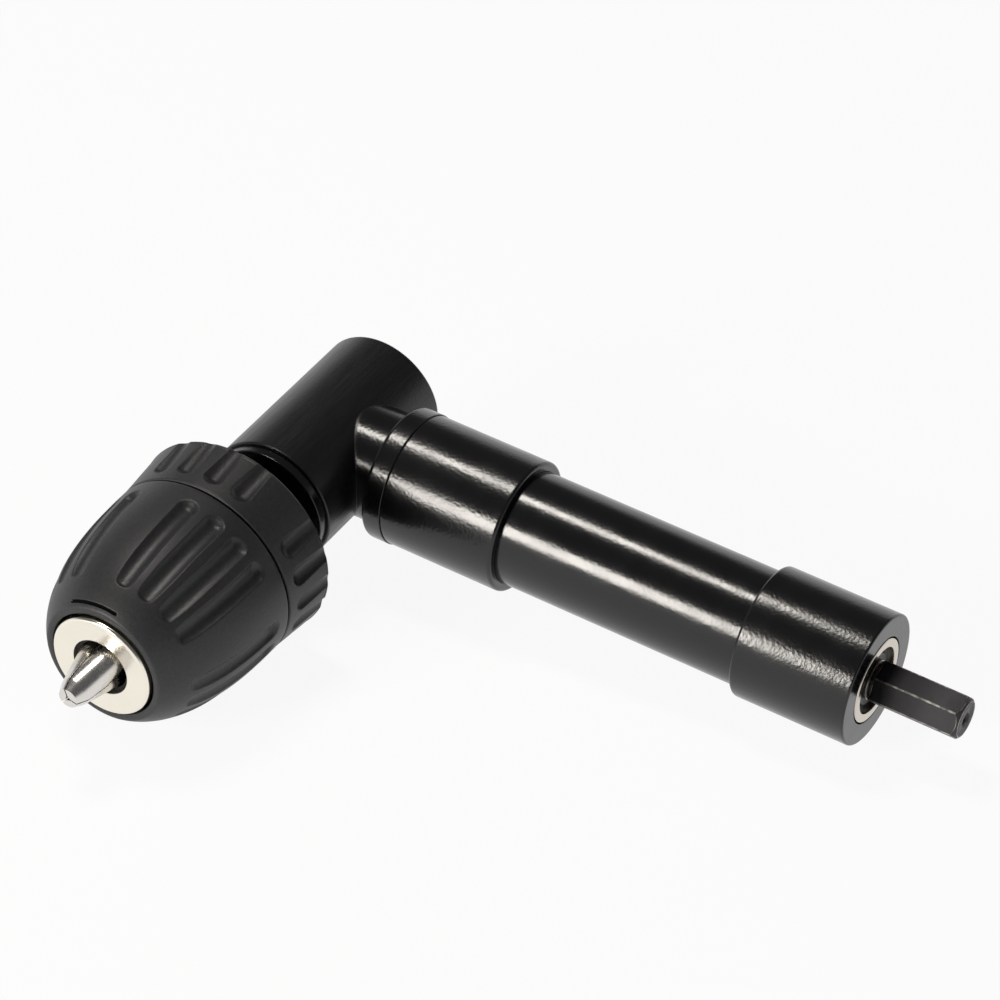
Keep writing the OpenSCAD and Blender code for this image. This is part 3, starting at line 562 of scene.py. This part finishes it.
class ATTACHMENT_OT_arm(bpy.types.Operator):
    """Turn the lock ring, front sleeve and end housing of the arm, and finish its slim tube"""
    bl_idname = "attachment.arm"
    bl_label = "Arm"

    # The end bearing's seat in the housing: its shoulder, its play and how far it ends behind the face
    shoulder, play, seat_back = 1 * MM, 0.02 * MM, 0.4 * MM
    mouth_edge, face_edge = 0.15 * MM, 0.45 * MM

    def execute(self, context):
        sizes, colours = settings(context)
        thick = thick_enamel(sizes, colours)
        # Stoved enamel on a drawn tube: it lies thin, so it is smoother
        wear(sprayed_enamel("stoved_enamel_on_drawn_tube", sizes, colours, 0.6), "arm_tube")
        stub, tube, seat = sizes.stub_radius, sizes.tube_radius, sizes.seat_depth
        wear(thick, "arm_lock_ring", "arm_front_sleeve", "arm_end_housing")

        low, high, radius = arm_span("arm_lock_ring")
        lathe("lock_ring", [(low, stub), (high, stub), (high, radius, SEAM),
                            (low, radius, sizes.lock_ring_edge)],
              on_arm, thick, "housing", "arm_lock_ring")

        low, high, radius = arm_span("arm_front_sleeve")
        lathe("front_sleeve_of_arm", [(low, stub), (low + seat, stub), (low + seat, tube),
                                      (high, tube), (high, radius, sizes.shoulder_edge),
                                      (low, radius, sizes.paint_edge)],
              on_arm, thick, "housing", "arm_front_sleeve")

        low, high, radius = arm_span("arm_end_housing")
        back, face, bearing = arm_span("input_end_outer_ring")
        step, fit = bearing - self.shoulder, bearing + self.play
        front, mouth = face - self.seat_back, bearing + sizes.mouth_gap
        lathe("end_housing", [(low, tube), (low + seat, tube), (low + seat, step),
                              (back, step), (back, fit), (front, fit),
                              (front, mouth), (high, mouth, self.mouth_edge),
                              (high, radius, self.face_edge), (low, radius, sizes.housing_edge)],
              on_arm, thick, "housing", "arm_end_housing")
        return {"FINISHED"}


class ATTACHMENT_OT_input_end(bpy.types.Operator):
    """Turn the end bearing's ring, finish its shield, and make the input shaft with its hex shank"""
    bl_idname = "attachment.input_end"
    bl_label = "Input end"

    # Direction of a long edge of the hex shank, from +Y towards +Z
    first_corner = math.radians(12)
    # Gap between the collar and the bearing, and the length, depth and rounding of the collar's cone
    gap, cone_length, cone_depth, cone_edge = 0.02 * MM, 0.35 * MM, 0.4 * MM, 0.2 * MM
    # The collar's groove: its place as a share of the length, the length of a flank, and its depth
    groove_share, flank, groove_depth = 0.4, 0.08 * MM, 0.2 * MM
    # How far the hex shank starts inside the collar
    rooted = 0.5 * MM

    def execute(self, context):
        sizes, colours = settings(context)
        turning = round_marks(ARM_AXIS, sizes.turning_pitch)
        # Hardened steel, blackened and oiled: an even dark satin coat, rubbed bright along its edges
        oiled = steel("hardened_steel_blackened", colours.shank_steel, 0.5, clouds(0.35 * MM), 0.008 * MM,
                      worn=colours.worn_steel, bare=0.3)
        # Hardened steel, turned: dark, with a gloss that shows as bright arcs round the collar
        turned = steel("hardened_steel_turned", colours.gear_steel, 0.2, turning, 0.004 * MM)
        # Bearing steel, ground: warm silver with a fine round sheen
        ground = steel("bearing_steel_ground", colours.bearing_steel, 0.24, turning, 0.002 * MM)
        # Sheet steel, blued: dark and dull under the oil
        blued = steel("sheet_steel_blued", colours.seal, 0.4, turning, 0.002 * MM)

        rear, end, _ = arm_span("input_shaft")
        bearing_low, bearing_face, bearing = arm_span("input_end_outer_ring")
        shield = arm_span("input_end_shield")[2]
        shaft, collar = sizes.shaft, sizes.collar
        start = bearing_face + self.gap
        front = start + sizes.collar_length
        groove, bottom = start + sizes.collar_length * self.groove_share, collar - self.groove_depth
        wear(turned, "input_shaft")
        lathe("shaft_and_collar", [(rear, 0, 0), (front, 0, 0), (front, collar - self.cone_depth),
                                   (front - self.cone_length, collar, self.cone_edge),
                                   (groove, collar), (groove - self.flank, bottom),
                                   (groove - 3 * self.flank, bottom),
                                   (groove - 4 * self.flank, collar),
                                   (start, collar, SEAM), (start, shaft), (rear, shaft, 0.4 * MM)],
              on_arm, turned, "input_drive", "input_shaft")
        self.hex_shank(sizes, front - self.rooted, end, oiled)

        wear(ground, "input_end_outer_ring")
        face = bearing_face + sizes.bearing_stand
        lathe("end_bearing_ring", [(bearing_low, shield, 0.1 * MM), (face, shield, 0.2 * MM),
                                   (face, bearing, 0.4 * MM), (bearing_low, bearing, 0.3 * MM)],
              on_arm, ground, "housing", "input_end_outer_ring")
        wear(blued, "input_end_shield", "input_end_race")
        return {"FINISHED"}

    def hex_shank(self, sizes, start, end, material):
        """Hexagon bar with rounded long edges, a coned end and a centre hole."""
        flat, corner = sizes.hex_flats / 2, sizes.hex_corner
        corner_steps, corner_wear, end_wear = 6, 0.8, 0.9
        fine, coned, steps, hole_depth = 0.09 * MM, 1.2 * MM, 20, 2.4 * MM
        # Points of the section with the wear there, close together on the corners
        section = []
        for k in range(6):
            way = self.first_corner + k * math.pi / 3
            centre = Vector((math.cos(way), math.sin(way))) * (flat - corner) / math.cos(math.pi / 6)
            for j in range(corner_steps + 1):
                turn = way + (j / corner_steps - 0.5) * math.pi / 3
                section.append((centre + corner * Vector((math.cos(turn), math.sin(turn))), corner_wear))
            after = way + math.pi / 6
            side = Vector((-math.sin(after), math.cos(after)))
            middle = Vector((math.cos(after), math.sin(after))) * flat
            reach = flat * math.tan(math.pi / 6) - corner
            for j in (-0.92, -0.8, -0.6, -0.4, -0.2, 0.0, 0.2, 0.4, 0.6, 0.8, 0.92):
                section.append((middle + side * reach * j, 0.0))
        # Rows as place and the cone's radius there. The last ones break its edge, which is worn
        rows = [(start, 2 * flat), (end - 1.25 * coned, 2 * flat)]
        rows += [(end - coned + coned * k / steps, sizes.hex_end + coned * (1 - k / steps))
                 for k in range(steps)]
        rows += [(end - 0.3 * fine, sizes.hex_end), (end, sizes.hex_end - fine),
                 (end, sizes.hex_end - 4 * fine)]
        points, rubbed = [], []
        for along, cone in rows:
            for spot, edge in section:
                over = spot.length - cone
                points.append((along, *(spot.normalized() * (cone if over > 0 else spot.length))))
                near_cone = max(1 - abs(over) / (2.4 * fine), 0.0)
                at_end = end_wear if cone < sizes.hex_end + fine and along > end - fine else 0.0
                rubbed.append(max(edge if over < 0 else 0.0, near_cone, at_end))
        rubbed[-len(section):] = [0.0] * len(section)
        hole = sizes.centre_hole
        for along, radius, worn in ((end, hole + fine, 0.3), (end - fine, hole - fine, 0.6),
                                    (end - hole / 2, hole / 2, 0.0), (end - hole_depth, hole / 2, 0.0)):
            for spot, _ in section:
                points.append((along, *(spot.normalized() * radius)))
                rubbed.append(worn)
        faces = skin(len(section), len(points) // len(section), True)
        piece = new_piece("hex_shank", points, faces, material, "input_drive",
                          ["input_shaft"])
        piece.data.attributes.new("rubbed", "FLOAT", "POINT").data.foreach_set("value", rubbed)


class ATTACHMENT_OT_spindle(bpy.types.Operator):
    """Finish the spindle and the chuck body"""
    bl_idname = "attachment.spindle"
    bl_label = "Spindle and chuck body"

    def execute(self, context):
        sizes, colours = settings(context)
        # Black oxide on turned steel: nearly black and oily, with faint turning marks
        oxide = steel("black_oxide_on_turned_steel", colours.oxide, 0.26,
                      round_marks(CHUCK_AXIS, sizes.turning_pitch), 0.003 * MM, edge=0.2 * MM)
        wear(oxide, "output_spindle", "chuck_body")
        return {"FINISHED"}


class ATTACHMENT_OT_sleeves(bpy.types.Operator):
    """Mould the chuck's rear and front sleeves with their grooves"""
    bl_idname = "attachment.sleeves"
    bl_label = "Chuck sleeves"

    groups, in_group, pitch = 4, 4, math.radians(17.2)
    front_middle, rear_middle = math.radians(61), math.radians(7)
    long_groove = (5.2 * MM, 25.2 * MM)
    long_groove_bow = 0.85 * MM
    short_groove_end = 8 * MM
    ogive_length, ogive_power = 35.5 * MM, 2.6
    arc_line = (math.radians(78), math.radians(123))
    arc_inset = 0.95 * MM
    # Depth of the arc line, how steep its flanks are, and the ogive's length there per length of axis
    line_depth, line_flank, nose_slope = 0.8 * MM, 8, 1.5
    # How much shorter than round a long groove's ends are
    end_blunt = 1.2
    # Columns of points in a groove, and between two groups
    front_columns, rear_columns = (40, 12), (46, 30)
    # Broken edges: how far back and in they start, and how far in they end
    nose_edge, joint_edge = (0.05 * MM, 0.05 * MM, 0.3 * MM), (0.08 * MM, 0.1 * MM, 0.35 * MM)
    # Inside the front sleeve: the lip's length, the room's radius, and the band's length and radius
    lip, room, band_length, band = 4.3 * MM, 12.4 * MM, 17 * MM, 17.4 * MM
    # Inside the rear sleeve: radius of its hub and of the chuck body's room, and the wall
    hub, body, wall = 9.02 * MM, 17.02 * MM, 2 * MM

    def execute(self, context):
        sizes, colours = settings(context)
        # The engraved arc line gets the nylon darkened as painted shade
        nylon, engraved = moulded_nylon(sizes, colours), engraved_line_painted_shade(colours)
        wear(nylon, "chuck_front_sleeve", "chuck_rear_sleeve")
        self.front_sleeve(sizes, nylon, engraved)
        self.rear_sleeve(sizes, nylon, engraved)
        return {"FINISHED"}

    def front_sleeve(self, sizes, nylon, engraved):
        rear, front, joint_radius = chuck_span("chuck_front_sleeve")
        cutter, soft, edge = sizes.groove_round, sizes.groove_soft, sizes.sleeve_edge
        end = front - rear

        def ogive(z):
            share = max(z, 0) / self.ogive_length
            return joint_radius * (1 - share ** self.ogive_power) ** (1 / self.ogive_power)

        start, stop = self.long_groove
        low = ogive(start) + cutter - sizes.groove_depth
        high = ogive(stop) + cutter - sizes.groove_front_depth

        def depth_at(along, radius, angle):
            z = along - rear
            offset = self.groove_offset(angle, self.front_middle)
            share = min(max((z - start) / (stop - start), 0), 1)
            centre = low + (high - low) * share + self.long_groove_bow * 4 * share * (1 - share)
            beyond = z - start - share * (stop - start)
            across, beyond = radius * math.sin(offset), beyond * self.end_blunt
            groove = cut_depth(radius, centre, across, beyond, cutter)
            line = 0.0
            if self.arc_line[0] < angle % (2 * math.pi) < self.arc_line[1]:
                over = abs(z - end + self.arc_inset) * self.nose_slope
                line = min(self.line_flank * (sizes.arc_width / 2 - over), self.line_depth)
                line = soft_step(line, soft)
            return soft_step(groove, soft), line

        rows = self.rolled_edge(rear, joint_radius, edge, 4, False)
        # Rows close together, and closer towards the nose, where the ogive is steep
        steps, run = 128, end - edge - 0.2 * MM
        for k in range(1, steps + 1):
            share = k / steps
            z = edge + run * share * (1.5 - 0.5 * share)
            rows.append((rear + z, ogive(z), True))
        bore, step = sizes.nose_bore, rear + self.band_length
        (short, shallow, deep), cone = self.nose_edge, 0.15 * MM
        inside = ((front - short, ogive(end) - shallow), (front, ogive(end) - deep),
                  (front, bore + cone), (front - cone, bore), (front - self.lip, bore),
                  (front - self.lip, self.room), (step, self.room), (step, self.band), (rear, self.band))
        angles = self.groove_angles(self.front_middle, *self.front_columns)
        sleeve("front_sleeve", rows, inside, angles, depth_at, nylon, engraved, "chuck_sleeve",
               "chuck_front_sleeve")

    def groove_angles(self, middle, in_groove, between):
        """Angles of a sleeve's columns, close together in its groups of grooves and wider between them."""
        share, reach = 2 * math.pi / self.groups, self.in_group * self.pitch / 2
        angles = []
        for group in range(self.groups):
            centre = middle + group * share
            steps = in_groove * self.in_group
            angles += [centre - reach + 2 * reach * k / steps for k in range(steps)]
            angles += [centre + reach + (share - 2 * reach) * k / between for k in range(between)]
        return angles

    def groove_offset(self, angle, middle):
        """Angle from a point to the nearest groove of its group."""
        share, last = 2 * math.pi / self.groups, self.in_group - 1
        offset = (angle - middle + share / 2) % share - share / 2
        nearest = round(min(max(offset / self.pitch + last / 2, 0), last))
        return offset - (nearest - last / 2) * self.pitch

    def rolled_edge(self, start, radius, edge, steps, cut):
        """Rows of a quarter round at a sleeve's rear edge."""
        turns = [math.pi / 2 * k / steps for k in range(steps + 1)]
        return [(start + edge * (1 - math.cos(turn)), radius - edge * (1 - math.sin(turn)), cut)
                for turn in turns]

    def rear_sleeve(self, sizes, nylon, engraved):
        back, joint, rim = chuck_span("chuck_rear_sleeve")
        joint_radius = chuck_span("chuck_front_sleeve")[2]
        cutter, soft, edge = sizes.groove_round, sizes.groove_soft, sizes.rim_edge
        stop, run = self.short_groove_end, joint - back
        low = rim + cutter - sizes.rim_depth
        high = rim + (joint_radius - rim) * stop / run + cutter - sizes.groove_depth

        def depth_at(along, radius, angle):
            z = along - back
            offset = self.groove_offset(angle, self.rear_middle)
            share = min(z / stop, 1)
            groove = cut_depth(radius, low + (high - low) * share, radius * math.sin(offset),
                               max(z - stop, 0), cutter)
            return soft_step(groove, soft), 0.0

        rows = self.rolled_edge(back, rim, edge, 8, True)
        steps = 80
        for k in range(1, steps + 1):
            share = k / steps
            rows.append((back + edge + (run - edge - 0.3 * MM) * share,
                         rim + (joint_radius - rim) * (edge / run + (1 - edge / run) * share), True))
        (short, shallow, deep), floor = self.joint_edge, back + self.wall
        inside = ((joint - short, joint_radius - shallow), (joint, joint_radius - deep),
                  (joint, self.body), (floor, self.body), (floor, self.hub), (back, self.hub))
        angles = self.groove_angles(self.rear_middle, *self.rear_columns)
        sleeve("rear_sleeve", rows, inside, angles, depth_at, nylon, engraved, "output_drive",
               "chuck_rear_sleeve")


class ATTACHMENT_OT_nose_ring(bpy.types.Operator):
    """Turn the plated ring at the chuck's nose"""
    bl_idname = "attachment.nose_ring"
    bl_label = "Nose ring"

    def execute(self, context):
        sizes, colours = settings(context)
        # Nickel plate, satin: warm and creamy, with faint rings from the lathe under the plate
        plated = steel("nickel_plate_satin", colours.nickel, 0.21,
                       round_marks(CHUCK_AXIS, sizes.turning_pitch), 0.002 * MM, turned_about="Y")
        wear(plated, "chuck_nose_ring")
        rear, front, radius = chuck_span("chuck_nose_ring")
        wall, hole = 1 * MM, 6 * MM
        lathe("nose_ring", [(rear, radius - wall), (front - wall, radius - wall),
                            (front - wall, hole), (front, hole, 0.2 * MM),
                            (front, radius, sizes.ring_edge), (rear, radius, 0.2 * MM)],
              on_chuck, plated, "output_drive", "chuck_nose_ring")
        return {"FINISHED"}


class ATTACHMENT_OT_jaws(bpy.types.Operator):
    """Grind the three jaws: slanted round bars with a grip flat, wedge sides and a coned nose"""
    bl_idname = "attachment.jaws"
    bl_label = "Jaws"

    # Each jaw's node, the body that it rides on and its direction from +X towards +Z
    jaws = (("jaw_1", "first_jaw", math.radians(49)), ("jaw_2", "second_jaw", math.radians(169)),
            ("jaw_3", "third_jaw", math.radians(289)))
    slant = math.radians(15)
    wedge = math.radians(60)
    # The nose's length, and how much its cone widens along it
    nose, nose_slope = 2.6 * MM, 0.46
    # Rows along the bar and along the nose, points round a row, and the power that rounds its corners
    body_steps, nose_steps, around, round_corner = 30, 26, 300, 90
    # Edges sharper than this are shaded as edges
    crisp = math.radians(14)

    def execute(self, context):
        sizes, colours = settings(context)

        def down_the_jaw(tree, point):
            return vector(tree, "MULTIPLY", point, (1.0, 0.03, 1.0)).outputs[0], 1 / (0.2 * MM)

        # Tool steel, ground: bright, with fine lines down each jaw
        ground = steel("tool_steel_ground", colours.jaw_steel, 0.27, down_the_jaw, 0.004 * MM)
        for node, body, turn in self.jaws:
            wear(ground, node)
            self.jaw(sizes, ground, node, body, turn)
        return {"FINISHED"}

    def jaw(self, sizes, material, node, body, turn):
        back, tip, _ = chuck_span(node)
        back += sizes.jaw_radius * math.sin(self.slant)
        start = tip - self.nose
        places = [back + (start - back) * k / self.body_steps for k in range(self.body_steps)]
        places += [start + self.nose * k / self.nose_steps for k in range(self.nose_steps)]
        # Rows as place along the chuck and how much the nose's cone is drawn in there, to break its end
        rows = [(s, 0.0) for s in places]
        rows += [(tip - 0.03 * MM, 0.01 * MM), (tip, 0.06 * MM), (tip, 0.2 * MM)]
        points = []
        for s, drawn_in in rows:
            middle, limits = self.section(sizes, tip, s, drawn_in)
            for k in range(self.around):
                way = 2 * math.pi * k / self.around
                reach = self.reach(limits, math.cos(way), math.sin(way))
                out, side = middle + reach * math.cos(way), reach * math.sin(way)
                points.append(on_chuck(s, 0, 0) + Vector((out * math.cos(turn) - side * math.sin(turn), 0,
                                                          out * math.sin(turn) + side * math.cos(turn))))
        faces = skin(self.around, len(rows), True)
        piece = new_piece("ground_" + node, points, faces, material, body, [node])
        piece.data.set_sharp_from_angle(angle=self.crisp)

    def section(self, sizes, tip, s, drawn_in):
        """Middle of a jaw's section, and how far the bar, flat, wedge and nose reach from it."""
        bar = sizes.jaw_radius / math.cos(self.slant)
        outer = sizes.jaw_tip + (tip - s) * math.tan(self.slant)
        nose = sizes.jaw_nose + (tip - s) * self.nose_slope - drawn_in
        inner = max(sizes.jaw_grip, outer - 2 * bar)
        middle = (inner + min(outer, nose)) / 2

        def round_bar(x, y):
            return crossing(middle - (outer - bar), x / bar, y / sizes.jaw_radius, bar)

        def grip_flat(x, y):
            return (middle - sizes.jaw_grip) / -x if x < 0 else math.inf

        def wedge_side(x, y):
            towards = abs(y) * math.cos(self.wedge) - x * math.sin(self.wedge)
            room = middle * math.sin(self.wedge) - sizes.jaw_gap / 2
            return room / towards if towards > 0 else math.inf

        def nose_cone(x, y):
            return crossing(middle, x / nose, y / nose, nose)

        return middle, (round_bar, grip_flat, wedge_side, nose_cone)

    def reach(self, limits, x, y):
        """The shortest reach, with the corners between two of them ground round."""
        nearest = min(limit(x, y) for limit in limits)
        total = sum((nearest / limit(x, y)) ** self.round_corner for limit in limits)
        return nearest * total ** (-1 / self.round_corner)


class ATTACHMENT_OT_inner_works(bpy.types.Operator):
    """Finish the gears, bearings and the chuck's inner parts"""
    bl_idname = "attachment.inner_works"
    bl_label = "Gears and bearings"

    gears = ("input_pinion", "output_gear", "pinion_pin", "gear_key", "jaw_nut", "nut_band", "chuck_screw")
    rings = ("bearing_spacer", "spindle_front_outer_ring", "spindle_rear_outer_ring",
             "input_inner_outer_ring", "input_inner_race", "spindle_front_race",
             "spindle_rear_race", "input_circlip", "spindle_circlip", "thrust_race")
    balls = ("spindle_front_balls", "spindle_rear_balls", "input_inner_balls", "input_end_balls",
             "thrust_balls")

    def execute(self, context):
        sizes, colours = settings(context)
        skin_marks = clouds(0.6 * MM)
        # Case hardened steel, cut: grey with a dull tempered skin
        cut = steel("case_hardened_steel_cut", colours.gear_steel, 0.34, skin_marks, 0.004 * MM,
                    edge=0.1 * MM)
        # Bearing steel, ground and polished
        polished = steel("bearing_steel_polished", colours.bearing_steel, 0.14, skin_marks, 0.001 * MM)
        ground = bpy.data.materials["bearing_steel_ground"]
        for nodes, material in ((self.gears, cut), (self.rings, ground), (self.balls, polished)):
            wear(material, *nodes)
        return {"FINISHED"}


class ATTACHMENT_PT_panel(bpy.types.Panel):
    bl_idname = "ATTACHMENT_PT_panel"
    bl_label = "Drill attachment"
    bl_space_type = "VIEW_3D"
    bl_region_type = "UI"
    bl_category = "Drill attachment"

    def draw(self, context):
        for operator in OPERATORS:
            self.layout.operator(operator.bl_idname)
        for group in settings(context):
            box = self.layout.box()
            for key in group.__annotations__:
                box.prop(group, key)


OPERATORS = (ATTACHMENT_OT_stage, ATTACHMENT_OT_gear_head, ATTACHMENT_OT_arm, ATTACHMENT_OT_input_end,
             ATTACHMENT_OT_spindle, ATTACHMENT_OT_sleeves, ATTACHMENT_OT_nose_ring, ATTACHMENT_OT_jaws,
             ATTACHMENT_OT_inner_works)
CLASSES = (AttachmentSizes, AttachmentColours) + OPERATORS + (ATTACHMENT_PT_panel,)


def register():
    for item in CLASSES:
        bpy.utils.register_class(item)
    bpy.types.Scene.attachment_sizes = bpy.props.PointerProperty(type=AttachmentSizes)
    bpy.types.Scene.attachment_colours = bpy.props.PointerProperty(type=AttachmentColours)


def unregister():
    del bpy.types.Scene.attachment_colours
    del bpy.types.Scene.attachment_sizes
    for item in reversed(CLASSES):
        bpy.utils.unregister_class(item)


def main():
    register()
    for operator in OPERATORS:
        getattr(bpy.ops.attachment, operator.bl_idname.split(".")[1])()


if __name__ == "__main__":
    main()
